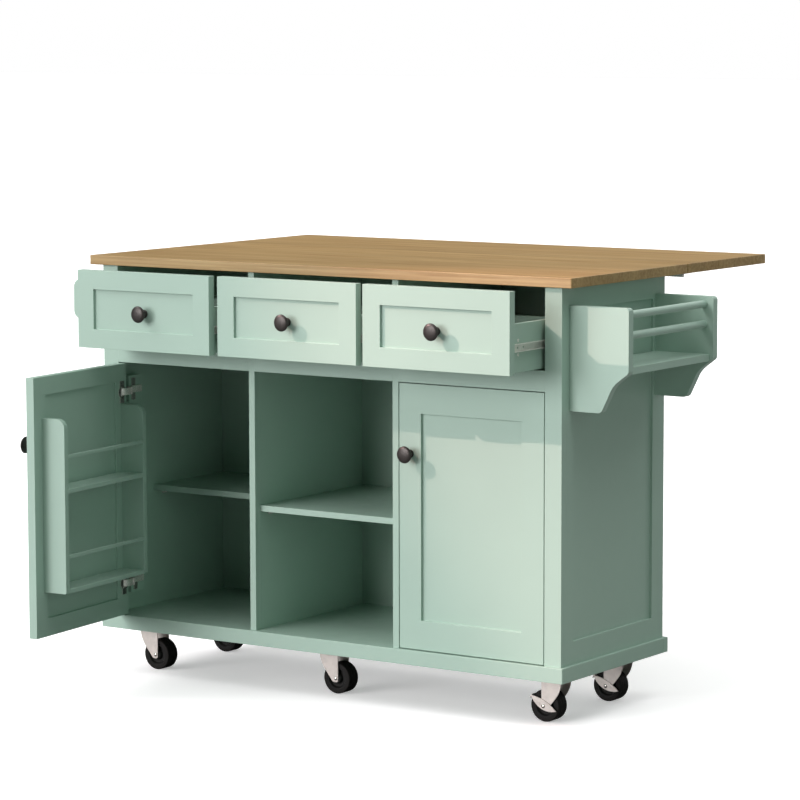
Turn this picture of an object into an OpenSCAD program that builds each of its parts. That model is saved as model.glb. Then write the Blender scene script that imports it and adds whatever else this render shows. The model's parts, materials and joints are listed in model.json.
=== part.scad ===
// Drop leaf kitchen island on castors: three bays with drawers above and
// two doors below, a rear leaf on butt hinges held by two swing-out wings,
// a spice rack on the left door, a bottle rack on the right side and a
// towel bar on the left side.
// Working coordinates: X = 0 at the middle of the cabinet, Y = 0 at the
// front of the face frame with +Y to the back, Z = 0 on the floor.

/* [Cabinet] */
// Width of the cabinet, outside of side panel to outside of side panel
cabinet_w = 1184; // [1120:1:1240]
// Depth of the cabinet, face frame to back panel
cabinet_d = 416; // [408:1:470]
// Height of the worktop's top above the floor
worktop_z = 930; // [915:1:960]
// Thickness of the side panels
side_t = 18; // [15:1:22]
// Width of the frame round the sunk field of a side panel
side_frame_w = 48; // [36:1:60]
// Depth of the sunk field of a side panel
side_sink = 6; // [3:1:8]
// Thickness of the two upright dividers
divider_t = 15; // [12:1:18]
// Thickness of the back panel
back_t = 12; // [8:1:16]
// Height of the plinth band
plinth_h = 31.5; // [26:0.5:40]
// Thickness of the plinth boards
plinth_t = 18; // [15:1:24]
// How far the plinth stands out from the cabinet's faces
plinth_out = 8.5; // [4:0.5:14]
// Thickness of the base panel
base_t = 16; // [12:1:20]

/* [Face frame] */
// Width of the two outer stiles
stile_w = 40; // [36:1:60]
// Height of the rail between drawers and doors
rail_h = 43; // [30:1:60]
// Thickness of the face frame
frame_t = 19; // [16:1:22]
// Height of the drawer openings
drawer_open_h = 170.5; // [160:0.5:200]

/* [Worktop and leaf] */
// Thickness of the worktop and of the leaf
worktop_t = 20.5; // [16:0.5:26]
// Overhang of the worktop at each side
worktop_side = 29; // [15:1:60]
// Overhang of the worktop at the front
worktop_front = 11; // [0:1:25]
// Overhang of the worktop at the back, room for the folded wings
worktop_back = 46; // [42:1:70]
// Depth of the leaf
leaf_d = 347.5; // [310:0.5:380]
// Gap between worktop and leaf
leaf_gap = 1.5; // [1:0.1:3]
// Radius of the worktop's corners, seen from above
worktop_r = 3; // [1:0.5:8]

/* [Wings] */
// Length of a wing from its hinge axis
wing_len = 294; // [240:1:300]
// Thickness of a wing
wing_t = 18; // [12:1:18]
// Height of a wing along its hinged edge
wing_h = 290; // [240:1:310]
// Height of a wing's short free edge
wing_tip_h = 14; // [10:1:50]
// Distance of the wing's outer face from the cabinet's side, wing out
wing_in = 44; // [40:1:60]

/* [Drawers] */
// Gap round an inset drawer front
drawer_gap = 1; // [0.8:0.1:2.5]
// Thickness of the drawer fronts
drawer_front_t = 19; // [16:1:22]
// Width of the frame on a drawer front, sides
drawer_stile_w = 43; // [34:1:60]
// Width of the frame on a drawer front, top and bottom
drawer_rail_w = 41; // [30:1:50]
// Depth of the sunk field on drawer fronts and doors
field_sink = 6; // [3:0.5:8]
// Height of the drawer box
box_h = 98; // [80:1:110]
// Thickness of the drawer box boards
box_t = 12; // [9:1:16]
// Thickness of the drawer bottom
box_bottom_t = 5; // [3:0.5:8]
// Height of the drawer box above the rail
box_lift = 4; // [3:0.5:10]
// How far the left, middle and right drawers stand open
drawer_pull = [138, 131, 132];

/* [Slides] */
// Room between the back end of the ball-bearing slides and the back panel
slide_back_gap = 34; // [24:1:60]
// Height of a slide's outer member
slide_h = 27; // [25:0.5:32]
// Thickness of a slide, and so the room beside a drawer box
slide_t = 10.5; // [10:0.1:12.7]
// Sheet thickness of the slide members
slide_sheet = 1.2; // [1:0.1:1.4]
// Diameter of the balls
ball_d = 4; // [3.5:0.1:4.2]
// Balls in each row of a cage
ball_count = 5; // [3:1:7]
// Length of a ball cage
cage_len = 90; // [70:1:95]

/* [Doors] */
// Gap round an inset door
door_gap = 2; // [1.5:0.1:3]
// Thickness of the doors
door_t = 19; // [17:1:22]
// Width of the door's stiles
door_stile_w = 54; // [45:1:70]
// Height of the door's rails
door_rail_w = 62; // [45:1:75]
// Width of the door's stiles on the inner face
door_back_stile_w = 42; // [36:1:60]
// Height of the door's rails on the inner face
door_back_rail_w = 39; // [34:1:60]
// Angle at which the left door stands open
door_open = 84.6; // [75:0.1:105]
// Distance of the door knobs below the opening's top
door_knob_in = 149; // [80:1:280]
// Distance of the upper cup hinges below the opening's top
hinge_top_in = 64; // [46:1:80]
// Distance of the lower cup hinges above the opening's foot
hinge_low_in = 73; // [52:1:90]
// Diameter of the hinge cups
cup_d = 26; // [26:1:35]
// Depth of the hinge cups
cup_depth = 12; // [11:0.5:13]

/* [Knobs] */
// Diameter of a knob's head
knob_d = 36; // [26:1:40]
// Distance a knob stands out
knob_out = 27; // [20:1:32]

/* [Shelves] */
// Thickness of the shelves
shelf_t = 13; // [10:1:18]
// Height of the shelves' top above the floor
shelf_z = 404.5; // [300:0.5:480]
// Setback of the left shelf, behind the door rack
shelf_left_in = 147; // [95:1:180]
// Setback of the middle shelf
shelf_middle_in = 16; // [5:1:60]
// Setback of the right shelf, behind its door
shelf_right_in = 40; // [30:1:90]

/* [Door rack] */
// Width over the rack's side boards
rack_w = 316; // [280:1:322]
// Depth of the rack
rack_d = 57; // [45:1:66]
// Room between the rack's side boards and the hinges above and below them
rack_hinge_gap = 1.5; // [1:0.5:20]
// Thickness of the side boards
rack_side_t = 13; // [9:1:16]
// Thickness of the rack's shelves
rack_shelf_t = 9; // [7:1:12]
// Distance of the upper shelf's foot below the side boards' top
rack_upper_in = 159; // [130:1:190]
// Height of the guard rails above their shelf
rack_guard_up = 66; // [50:1:80]
// Section of the guard rails
rack_guard = 7; // [5:1:10]

/* [Side rack and towel bar] */
// Reach of the bottle rack's brackets
bottle_out = 139; // [110:1:160]
// Distance of the brackets' top below the worktop
bracket_drop = 38; // [24:0.5:50]
// Height of a bottle rack bracket
bottle_h = 214.5; // [200:0.5:230]
// Thickness of all brackets
bracket_t = 18; // [14:1:22]
// Setback of the front brackets from the cabinet's front
bracket_in = 28; // [22:1:40]
// Setback of the back brackets from the cabinet's back
bracket_back_in = 22; // [10:1:30]
// Diameter of the two rack rods and of the towel bar
rod_d = 16; // [12:1:18]
// Height of the upper rod below the bracket's top
rod_drop = 16.5; // [14:0.5:22]
// Distance between the two rods
rod_pitch = 42; // [34:1:50]
// Distance of the rods from the bracket's outer edge
rod_in = 23; // [16:1:30]
// Thickness of the bottle shelf
bottle_shelf_t = 15; // [10:1:18]
// Distance of the bottle shelf's top below the bracket's top
bottle_shelf_drop = 120.5; // [110:0.5:124]
// Reach of the towel bar's brackets
towel_out = 108; // [70:1:120]
// Height of the towel bar's brackets
towel_h = 88; // [60:1:110]

/* [Castors] */
// Height from the floor to the base, over the castor's plate
castor_h = 101.5; // [99:0.5:112]
// Diameter of the wheels
wheel_d = 68; // [60:1:70]
// Width of the wheels
wheel_w = 34; // [24:1:36]
// Radius of the tyre's shoulders
tyre_shoulder = 2.5; // [1:0.5:6]
// Distance from swivel axis to wheel axle
trail = 22; // [18:1:26]
// Distance of the corner castors' swivel from the cabinet's sides
castor_in_x = 60; // [60:1:100]
// Distance of the front castors' swivel from the cabinet's front
castor_front_in = 88; // [76:1:110]
// Distance of the back castors' swivel from the cabinet's back
castor_back_in = 76; // [70:1:110]
// Width of the two rails under the base that take the castors
castor_rail_w = 90; // [80:1:110]
// Place of the middle castor's swivel along the front
castor_middle_x = -39; // [-80:1:40]
// Diameter of the wheel axles
axle_d = 6; // [5:0.5:8]

/* [Clearances] */
// Radial clearance of pins and axles that turn in their bores
running = 0.05; // [0.02:0.01:0.1]
// Clearance between faces that move past each other
free = 0.4; // [0.35:0.05:0.6]
// Hairline between boards that are glued or screwed end to face
glue_line = 0.05; // [0.02:0.01:0.1]

/* [Hidden] */

$fn = 48;

// Colours as the object shows them
mint = [0.70, 0.81, 0.75];
oak = [0.80, 0.64, 0.46];
steel = [0.72, 0.72, 0.72];
nickel = [0.80, 0.79, 0.77];
pewter = [0.20, 0.19, 0.18];
rubber = [0.13, 0.13, 0.13];
fork_grey = [0.78, 0.74, 0.70];

// Cabinet
half_w = cabinet_w / 2;
base_z0 = castor_h;
base_z1 = castor_h + plinth_h;
under_top = worktop_z - worktop_t;
rail_z1 = under_top - drawer_open_h;
rail_z0 = rail_z1 - rail_h;
door_open_h = rail_z0 - base_z1;
bay_w = (cabinet_w - 2 * stile_w - 2 * divider_t) / 3;
back_y0 = cabinet_d - back_t;
packer_t = stile_w - side_t;
plinth_r = 2;
BAYS = [0, 1, 2];

// Reach of a cut beyond the face it starts from, and of a lap into its part
over = 1;

// Left edge of a bay's opening
function bay_x(i) = stile_w - half_w + i * (bay_w + divider_t);
// Middle of a bay
function bay_mid(i) = bay_x(i) + bay_w / 2;

// Worktop, leaf and wings
seam_y = cabinet_d + worktop_back;
top_half_w = half_w + worktop_side;
knuckle_r = 4;
pin_r = 1.5;
leaf_plate_t = 2;
leaf_plate_w = 30;
hinge_len = 50;
knuckle_share = 0.3;
axis_drop = knuckle_r + free;
leaf_axis_y = seam_y + leaf_gap / 2;
leaf_axis_z = under_top - axis_drop;
leaf_end_y = seam_y + leaf_gap + leaf_d;
leaf_hinge_side = 36;
leaf_hinge_middle = 150;
leaf_hinge_x = [
  leaf_hinge_side - top_half_w, -leaf_hinge_middle,
  leaf_hinge_middle, top_half_w - leaf_hinge_side
];
wing_axis_x = half_w - wing_in - wing_t - axis_drop;
wing_axis_y = cabinet_d + axis_drop;
wing_top_gap = 1;
wing_z1 = under_top - wing_top_gap;
wing_z0 = wing_z1 - wing_h;
wing_heel = 3;
wing_foot_w = 12;
wing_r = 3;
wing_hinge_low = 55;
wing_hinge_top = 50;
wing_hinge_z = [wing_z0 + wing_hinge_low, wing_z1 - wing_hinge_top];

// Drawers and slides
drawer_front_w = bay_w - 2 * drawer_gap;
drawer_front_h = drawer_open_h - 2 * drawer_gap;
drawer_z0 = rail_z1 + drawer_gap;
box_w = bay_w - 2 * slide_t;
box_z0 = rail_z1 + box_lift;
box_y0 = drawer_front_t;
bottom_up = 7;
box_back_drop = 16;
drawer_knob_drop = 4;
slide_up = 1;
slide_z = box_z0 + box_h / 2 + slide_up;
slide_setback = 1;
slide_y0 = frame_t + slide_setback;
slide_len = back_y0 - slide_y0 - slide_back_gap;
outer_reach = 8.2;
inner_gap = 1.3;
ball_play = 0.3;
race_gap = ball_d + ball_play;
inner_h = slide_h - 2 * slide_sheet - 2 * race_gap;
inner_reach = slide_t - slide_sheet - inner_gap;
slide_hole_r = 2.4;
ball_z = inner_h / 2 + race_gap / 2;
ball_x = slide_t / 2;
ball_pitch = cage_len / (ball_count + 0.5);
cage_sheet = 0.6;
cage_gap = 0.35;

// Holes along a slide's inner member, as shares of its length
slide_holes = [0.025, 0.066, 0.127, 0.543, 0.914];

// Doors
door_w = bay_w - 2 * door_gap;
door_h = door_open_h - 2 * door_gap;
door_z0 = base_z1 + door_gap;
door_axis_in = door_gap / 2;
door_axis_x = half_w - stile_w - door_axis_in;
hinge_top_z = rail_z0 - hinge_top_in;
hinge_low_z = base_z1 + hinge_low_in;
door_knob_z = rail_z0 - door_knob_in;
cup_edge = 4.5;
cup_s = door_axis_in + cup_edge + cup_d / 2;
cup_wall = 1.2;
cup_flange = 1;
cup_plate_t = 1.5;
cup_plate_w = 16;
cup_plate_h = 49;
hinge_arm_h = 15;
hinge_gap = 0.3;
hook_rise = 4.2;
hook_r = max(frame_t, door_t + cup_plate_t) + hook_rise;
hook_t = 2;
hook_pin_r = 1.5;
hook_pin_a = 42;
hook_end_a = 180 - asin((frame_t + hinge_gap) / hook_r);
neck_r = hook_r + hook_t + hinge_gap;
neck_t = 3;
cup_room = sqrt(pow(cup_d / 2 - cup_wall, 2) - pow(hinge_arm_h / 2, 2));
neck_floor_a = asin((door_t - cup_depth + cup_wall + free) / neck_r);
neck_side_a = acos(min(1, (cup_s + cup_room - free) / (neck_r + neck_t)));
neck_end_a = max(neck_floor_a, neck_side_a);
hinge_saddle_t = 6;
hinge_saddle_l = 38;
hinge_plate_t = 2;
hinge_plate_w = 12;
hinge_plate_in = 8;
hinge_block_gap = 6;
hinge_block_y = neck_r + neck_t + hinge_block_gap;
hinge_block_l = 44;
hinge_block_h = 60;
door_back_sink = 5;
rack_edge = 9;
rack_s0 = rack_edge + door_axis_in;
rack_z = hinge_low_z + cup_plate_h / 2 + rack_hinge_gap;
rack_h = hinge_top_z - cup_plate_h / 2 - rack_hinge_gap - rack_z;
rack_upper = rack_h - rack_upper_in;
rack_top_r = 20;
rack_foot_r = 3;

// Castors
wheel_r = wheel_d / 2;
axle_r = axle_d / 2;
plate_t = 2.5;
plate_size = [60, 54];
bolt_inset = 7;
bolt_r = 4.5;
race_r = 19;
race_h = 4;
race_flare = 2;
race_taper = 1;
race_lap = 0.5;
sheet_t = 2.5;
race_z = base_z0 - plate_t - race_h;
bridge_z1 = race_z - free - race_h;
bridge_z0 = bridge_z1 - sheet_t;
king_r = 5;
king_head_r = 8;
cheek_gap = 1.5;
cheek_in = wheel_w / 2 + cheek_gap;
cheek_out = cheek_in + sheet_t;
crown_front = 20;
crown_reach = 6;
crown_rear = trail + crown_reach;
cheek_low = 8;
cheek_toe = 7;
cheek_step = 3;
cheek_shoulder = 24;
crown_r = 3;
heel_r = 5;
toe_r = 7;
sweep_r = 60;
rivet_lip = 1.3;
rivet_r = axle_r + rivet_lip;
rivet_h = 1.5;
hub_r = 11;
hub_flare = 2;
web_sink = 6;
rim_w = 6;
rim_chamfer = 3;
rim_in = 1;
tyre_t = 9;
castor_x = half_w - castor_in_x;
castor_back_y = cabinet_d - castor_back_in;

// Brake lever, seen from the axle: its pedal end, its toe and its two edges
lever_t = 2;
lever_y = cheek_out + free;
lever_tip_r = wheel_r + lever_t + free;
lever_tip_a = 34.5;
lever_tip = lever_tip_r * [cos(lever_tip_a), sin(lever_tip_a)];
lever_toe_in = 2;
lever_toe_r = wheel_r - lever_toe_in;
lever_toe_a = 194.5;
lever_toe = lever_toe_r * [cos(lever_toe_a), sin(lever_toe_a)];
lever_belly = 13;
lever_crest = 6;
lever_rivet = [10.5, 6];
lever_rivet_r = 1.8;
lever_rivet_h = 1;
pedal_l = 9;
pedal_low = 6;
pedal_w = 14;

// The whole object stands with the middle of its box over the origin
door_reach = door_axis_in + door_w;
box_x0 = -half_w - towel_out;
box_x1 = half_w + bottle_out;
box_front_y = -max(
  door_reach * sin(door_open) - min(0, door_t * cos(door_open)),
  max(drawer_pull) + knob_out
);
origin_x = (box_x0 + box_x1) / 2;
origin_y = (box_front_y + leaf_end_y) / 2;

module in_frame() {
  translate([-origin_x, -origin_y, 0]) children();
}

// Both sides of the cabinet
module both_sides() {
  children();
  mirror([1, 0, 0]) children();
}

// Box between two opposite corners
module span(low, high) {
  translate(low) cube(high - low);
}

function unit(v) = v / norm(v);

// Points of one rounded corner, from the edge a-b to the edge b-c
function corner(a, b, c, r, steps = 8) =
  r <= 0 ? [b] :
  let (
    u = unit(a - b),
    v = unit(c - b),
    half = acos(u * v) / 2,
    reach = r / tan(half),
    middle = b + unit(u + v) * r / sin(half),
    p = b + u * reach,
    q = b + v * reach,
    a0 = atan2(p[1] - middle[1], p[0] - middle[0]),
    turn = atan2(q[1] - middle[1], q[0] - middle[0]) - a0,
    sweep = turn > 180 ? turn - 360 : turn < -180 ? turn + 360 : turn
  )
  [for (k = [0:steps]) middle + r * [cos(a0 + sweep * k / steps), sin(a0 + sweep * k / steps)]];

// Outline through the points, each corner rounded by its own radius
function rounded(points, radii) =
  let (n = len(points))
  [for (i = [0:n - 1]) each corner(points[(i + n - 1) % n], points[i], points[(i + 1) % n], radii[i])];

// Upright board with its outline in X and Z, from y0 to y1
module board_xz(points, y0, y1) {
  translate([0, y1, 0]) rotate([90, 0, 0]) linear_extrude(y1 - y0) polygon(points);
}

// Board with a sunk field on its front, as a framed panel has
module framed_panel(w, h, t, frame_x, frame_z, sink) {
  difference() {
    cube([w, t, h]);
    span([frame_x, -over, frame_z], [w - frame_x, sink, h - frame_z]);
  }
}

// ---- Cabinet ----

module worktop_board(y0, y1) {
  r = worktop_r;
  w = top_half_w;
  translate([0, 0, under_top]) linear_extrude(worktop_t)
    polygon(rounded([[-w, y0], [w, y0], [w, y1], [-w, y1]], [r, r, r, r]));
}

module worktop() {
  color(oak) in_frame() worktop_board(-worktop_front, seam_y);
}

// Side panel with a sunk field on its outer face
module side_panel() {
  f = side_frame_w;
  difference() {
    span([half_w - side_t, frame_t, base_z1], [half_w, cabinet_d, under_top]);
    span([half_w - side_sink, f, base_z1 + f], [half_w + over, cabinet_d - f, under_top - f]);
  }
}

module side_panels() {
  color(mint) in_frame() both_sides() side_panel();
}

module face_frame() {
  color(mint) in_frame() {
    both_sides() span([half_w - stile_w, 0, base_z1], [half_w, frame_t, under_top]);
    for (i = [1, 2])
      span([bay_x(i) - divider_t, 0, base_z1], [bay_x(i), frame_t, under_top]);
    for (i = BAYS)
      span([bay_x(i) + glue_line, 0, rail_z0], [bay_x(i) + bay_w - glue_line, frame_t, rail_z1]);
  }
}

module dividers() {
  color(mint) in_frame() for (i = [1, 2])
    span([bay_x(i) - divider_t, frame_t, base_z1], [bay_x(i), back_y0, under_top]);
}

// Base panel inside the plinth, on two rails that take the castors
module base_boards() {
  x = half_w + plinth_out - plinth_t;
  y0 = plinth_t - plinth_out;
  y1 = cabinet_d + plinth_out - plinth_t;
  z = base_z1 - base_t;
  color(mint) in_frame() {
    span([-x, y0, z], [x, y1, base_z1]);
    for (y = [castor_front_in, castor_back_y])
      span([-x, y - castor_rail_w / 2, base_z0], [x, y + castor_rail_w / 2, z - glue_line]);
  }
}

// Four plinth boards, the end boards between the long ones
module plinth() {
  x = half_w + plinth_out;
  y0 = -plinth_out;
  y1 = cabinet_d + plinth_out;
  r = plinth_r;
  long_board = rounded(
    [[-x, y0], [x, y0], [x, y0 + plinth_t], [-x, y0 + plinth_t]], [r, r, 0, 0]);
  color(mint) in_frame() {
    translate([0, 0, base_z0]) linear_extrude(plinth_h) polygon(long_board);
    translate([0, y0 + y1, base_z0]) mirror([0, 1, 0]) linear_extrude(plinth_h) polygon(long_board);
    both_sides() span(
      [x - plinth_t, y0 + plinth_t + glue_line, base_z0],
      [x, y1 - plinth_t - glue_line, base_z1]);
  }
}

module back_panel() {
  color(mint) in_frame()
    span([side_t - half_w, back_y0, base_z1], [half_w - side_t, cabinet_d, under_top]);
}

// Space for a shelf: left wall, right wall and setback of each bay
function shelf_span(i) = [
  i == 0 ? side_t - half_w : bay_x(i),
  i == 2 ? half_w - side_t : bay_x(i) + bay_w,
  [shelf_left_in, shelf_middle_in, shelf_right_in][i]
];

module shelves() {
  color(mint) in_frame() for (i = BAYS) {
    s = shelf_span(i);
    span(
      [s[0] + glue_line, max(s[2], i == 1 ? 0 : frame_t), shelf_z - shelf_t],
      [s[1] - glue_line, back_y0 - glue_line, shelf_z]);
  }
}

// Four quarter-round supports under each shelf, screwed to the walls
module shelf_supports() {
  size = 10;
  wide = 12;
  inset = 30;
  color(nickel) in_frame() for (i = BAYS) {
    s = shelf_span(i);
    for (y = [s[2] + inset, back_y0 - inset - wide])
      for (side = [0, 1])
        translate([s[side], y, shelf_z - shelf_t - glue_line])
          mirror([side, 0, 0]) rotate([-90, 0, 0]) intersection() {
            cube([size, size, wide]);
            cylinder(h = wide, r = size);
          }
  }
}

// Battens that bring slides and hinge plates flush with the stiles
module packers() {
  x = half_w - side_t;
  color(mint) in_frame() both_sides() {
    span([x - packer_t, frame_t, slide_z - slide_h], [x, slide_y0 + slide_len, slide_z + slide_h]);
    for (z = [hinge_top_z, hinge_low_z])
      span(
        [x - packer_t, hinge_block_y, z - hinge_block_h / 2],
        [x, hinge_block_y + hinge_block_l, z + hinge_block_h / 2]);
  }
}

// Points of an arc round the origin
function arc(r, a0, a1) =
  let (steps = 24)
  [for (k = [0:steps]) let (a = a0 + (a1 - a0) * k / steps) r * [cos(a), sin(a)]];

// Curved strap round the Z axis, from radius r to r + t
module strap(r, t, a0, a1, h) {
  translate([0, 0, -h / 2]) linear_extrude(h)
    polygon(concat(arc(r, a0, a1), arc(r + t, a1, a0)));
}

// Cabinet half of the cup hinges: a cross plate, a saddle along the wall and
// a curved neck round the door's axis, which dips into the cup when closed
module hinge_plates() {
  wall_x = -door_axis_in;
  h = hinge_arm_h;
  color(nickel) in_frame() both_sides() translate([-door_axis_x, 0, 0])
    for (z = [hinge_top_z, hinge_low_z]) translate([0, 0, z]) {
      span(
        [wall_x, hinge_block_y + hinge_plate_in, -cup_plate_h / 2],
        [wall_x + hinge_plate_t, hinge_block_y + hinge_plate_in + hinge_plate_w, cup_plate_h / 2]);
      span(
        [wall_x, neck_r, -h / 2],
        [wall_x + hinge_saddle_t, hinge_block_y + hinge_saddle_l, h / 2]);
      strap(neck_r, neck_t, neck_end_a, 90, h);
    }
}

// Section of one slide, from the drawer's side at x = 0 to the bay's wall
module slide_outer() {
  h = slide_h / 2;
  lip = slide_t - outer_reach;
  span([slide_t - slide_sheet, 0, -h], [slide_t, slide_len, h]);
  for (side = [0, 1]) mirror([0, 0, side])
    span([lip, 0, h - slide_sheet], [slide_t, slide_len, h]);
}

module slide_inner() {
  h = inner_h / 2;
  difference() {
    union() {
      span([0, 0, -h], [slide_sheet, slide_len, h]);
      for (side = [0, 1]) mirror([0, 0, side])
        span([0, 0, h - slide_sheet], [inner_reach, slide_len, h]);
    }
    for (share = slide_holes)
      translate([-over, share * slide_len, 0]) rotate([0, 90, 0])
        cylinder(h = slide_sheet + 2 * over, r = slide_hole_r);
  }
}

// Cage that carries two rows of balls between the members
module ball_cage() {
  x1 = slide_t - slide_sheet - cage_gap;
  z = ball_z;
  span([x1 - cage_sheet, 0, -z], [x1, cage_len, z]);
  for (side = [0, 1]) mirror([0, 0, side]) {
    span([ball_x - ball_d / 2, 0, z - cage_sheet / 2], [x1, cage_len, z + cage_sheet / 2]);
    for (k = [1:ball_count])
      translate([ball_x, (k - 0.25) * ball_pitch, z]) sphere(d = ball_d, $fn = 24);
  }
}

// Both slides of a bay, each drawn from its side of the drawer box
module slide_pair(i, y) {
  for (side = [0, 1])
    translate([bay_mid(i), y, slide_z]) mirror([1 - side, 0, 0])
      translate([box_w / 2, 0, 0]) children();
}

module slide_outers() {
  color(steel) in_frame() for (i = BAYS) slide_pair(i, slide_y0) slide_outer();
}

// ---- Butt hinges ----

// Fixed half: two knuckles with the pin through them and a screwed leaf.
// The axis runs along +Z at x = y = 0; the leaf lies towards -Y, its
// outer face at x = axis_drop.
module butt_fixed() {
  k = hinge_len * knuckle_share;
  for (z = [0, hinge_len - k]) translate([0, 0, z]) {
    cylinder(h = k, r = knuckle_r);
    span([axis_drop - leaf_plate_t, -knuckle_r - free - over, 0], [axis_drop, 0, k]);
  }
  cylinder(h = hinge_len, r = pin_r);
  span(
    [axis_drop - leaf_plate_t, -leaf_plate_w, 0],
    [axis_drop, -knuckle_r - free, hinge_len]);
}

// Moving half: the middle knuckle with its bore, and a leaf towards +Y
module butt_moving() {
  k = hinge_len * knuckle_share + free / 2;
  difference() {
    union() {
      translate([0, 0, k]) cylinder(h = hinge_len - 2 * k, r = knuckle_r);
      span([axis_drop - leaf_plate_t, 0, k], [axis_drop, knuckle_r + free + over, hinge_len - k]);
    }
    translate([0, 0, k - over]) cylinder(h = hinge_len, r = pin_r + running);
  }
  span(
    [axis_drop - leaf_plate_t, knuckle_r + free, 0],
    [axis_drop, leaf_plate_w, hinge_len]);
}

// Stand the leaf's hinges under the worktop, fixed leaves towards the front
module at_leaf_hinges() {
  for (x = leaf_hinge_x)
    translate([x + hinge_len / 2, leaf_axis_y, leaf_axis_z]) rotate([0, -90, 0]) children();
}

// Stand a wing's two hinges on its axis; turn lays the hinge's leaf on the
// back panel or on the folded wing
module at_wing_hinges(turn) {
  for (z = wing_hinge_z)
    translate([wing_axis_x, wing_axis_y, z - hinge_len / 2]) rotate([0, 0, turn]) children();
}

module hinge_leaves_fixed() {
  color(nickel) in_frame() {
    at_leaf_hinges() butt_fixed();
    both_sides() at_wing_hinges(-90) butt_fixed();
  }
}

// ---- Leaf and wings ----

module leaf() {
  color(oak) in_frame() worktop_board(seam_y + leaf_gap, leaf_end_y);
}

module leaf_hinges() {
  color(nickel) in_frame() at_leaf_hinges() butt_moving();
}

// Right wing folded against the back: a knee brace with a sloping underside
module wing() {
  x0 = wing_axis_x - wing_len;
  x1 = wing_axis_x + wing_heel;
  y = wing_axis_y + axis_drop;
  outline = rounded(
    [
      [x0, wing_z1], [x1, wing_z1], [x1, wing_z0],
      [x1 - wing_foot_w, wing_z0], [x0, wing_z1 - wing_tip_h]
    ],
    [wing_r, wing_r, wing_r, wing_r, wing_tip_h / 3]);
  board_xz(outline, y, y + wing_t);
}

module wing_right() {
  color(mint) in_frame() wing();
}

module wing_left() {
  color(mint) in_frame() mirror([1, 0, 0]) wing();
}

module wing_hinges_right() {
  color(nickel) in_frame() at_wing_hinges(90) butt_moving();
}

module wing_hinges_left() {
  color(nickel) in_frame() mirror([1, 0, 0]) at_wing_hinges(90) butt_moving();
}

// ---- Side brackets ----

// The two places of a bracket along the cabinet's side
bracket_y = [bracket_in, cabinet_d - bracket_back_in - bracket_t];
bracket_top_z = under_top - bracket_drop;
bracket_z0 = bracket_top_z - bottle_h;
socket = bracket_t / 2;
bar_z = bracket_top_z - towel_h / 2;
towel_bar_in = 25;
bar_out = towel_out - towel_bar_in;
towel_r = 18;
bottle_shelf_in = 9;

// Shaped bracket of the bottle rack: a nose, a hollow curve and a straight foot
function bottle_outline() =
  let (
    x0 = half_w,
    x1 = x0 + bottle_out,
    nose_drop = 10,
    heel_drop = 27,
    nose_z = bracket_top_z - bottle_shelf_drop - nose_drop,
    heel_z = nose_z - heel_drop,
    heel_in = 36,
    foot_in = 64,
    top_r = 8,
    nose_r = 10,
    hollow_r = 60,
    foot_r = 12
  )
  rounded(
    [
      [x0, bracket_top_z], [x1, bracket_top_z], [x1, nose_z],
      [x1 - heel_in, heel_z], [x1 - foot_in, bracket_z0], [x0, bracket_z0]
    ],
    [0, top_r, nose_r, hollow_r, foot_r, 0]);

function towel_outline() =
  let (x = half_w, z = bracket_top_z)
  rounded(
    [[x, z], [x + towel_out, z], [x + towel_out, z - towel_h], [x, z - towel_h]],
    [0, towel_r, towel_r, 0]);

// Two brackets of one outline, with a blind socket for each rod's ends
module bracket_pair(outline, sockets) {
  for (end = [0, 1]) difference() {
    board_xz(outline, bracket_y[end], bracket_y[end] + bracket_t);
    for (p = sockets)
      translate([p[0], bracket_y[end] + (end == 0 ? bracket_t - socket : -over), p[1]])
        rotate([-90, 0, 0]) cylinder(h = socket + over, r = rod_d / 2 + running);
  }
}

// Rods reach into the sockets and stop just short of their floors
module rods(places) {
  y0 = bracket_y[0] + bracket_t - socket + free;
  y1 = bracket_y[1] + socket - free;
  for (p = places)
    translate([p[0], y0, p[1]]) rotate([-90, 0, 0]) cylinder(h = y1 - y0, r = rod_d / 2);
}

function bottle_rod_places() =
  [for (k = [0, 1]) [half_w + bottle_out - rod_in, bracket_top_z - rod_drop - k * rod_pitch]];

module bottle_brackets() {
  color(mint) in_frame() bracket_pair(bottle_outline(), bottle_rod_places());
}

module bottle_rods() {
  color(mint) in_frame() rods(bottle_rod_places());
}

module bottle_shelf() {
  z1 = bracket_top_z - bottle_shelf_drop;
  color(mint) in_frame() span(
    [half_w, bracket_y[0] + bracket_t, z1 - bottle_shelf_t],
    [half_w + bottle_out - bottle_shelf_in, bracket_y[1], z1]);
}

module towel_brackets() {
  color(mint) in_frame() mirror([1, 0, 0])
    bracket_pair(towel_outline(), [[half_w + bar_out, bar_z]]);
}

module towel_bar() {
  color(mint) in_frame() mirror([1, 0, 0]) rods([[half_w + bar_out, bar_z]]);
}

// ---- Drawers ----

// Put a drawer's pieces where it stands, drawn closed round the bay's middle
module at_drawer(i) {
  translate([bay_mid(i), -drawer_pull[i], 0]) children();
}

module drawer_front(i) {
  color(mint) in_frame() at_drawer(i)
    translate([-drawer_front_w / 2, 0, drawer_z0])
      framed_panel(
        drawer_front_w, drawer_front_h, drawer_front_t, drawer_stile_w, drawer_rail_w, field_sink);
}

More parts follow.
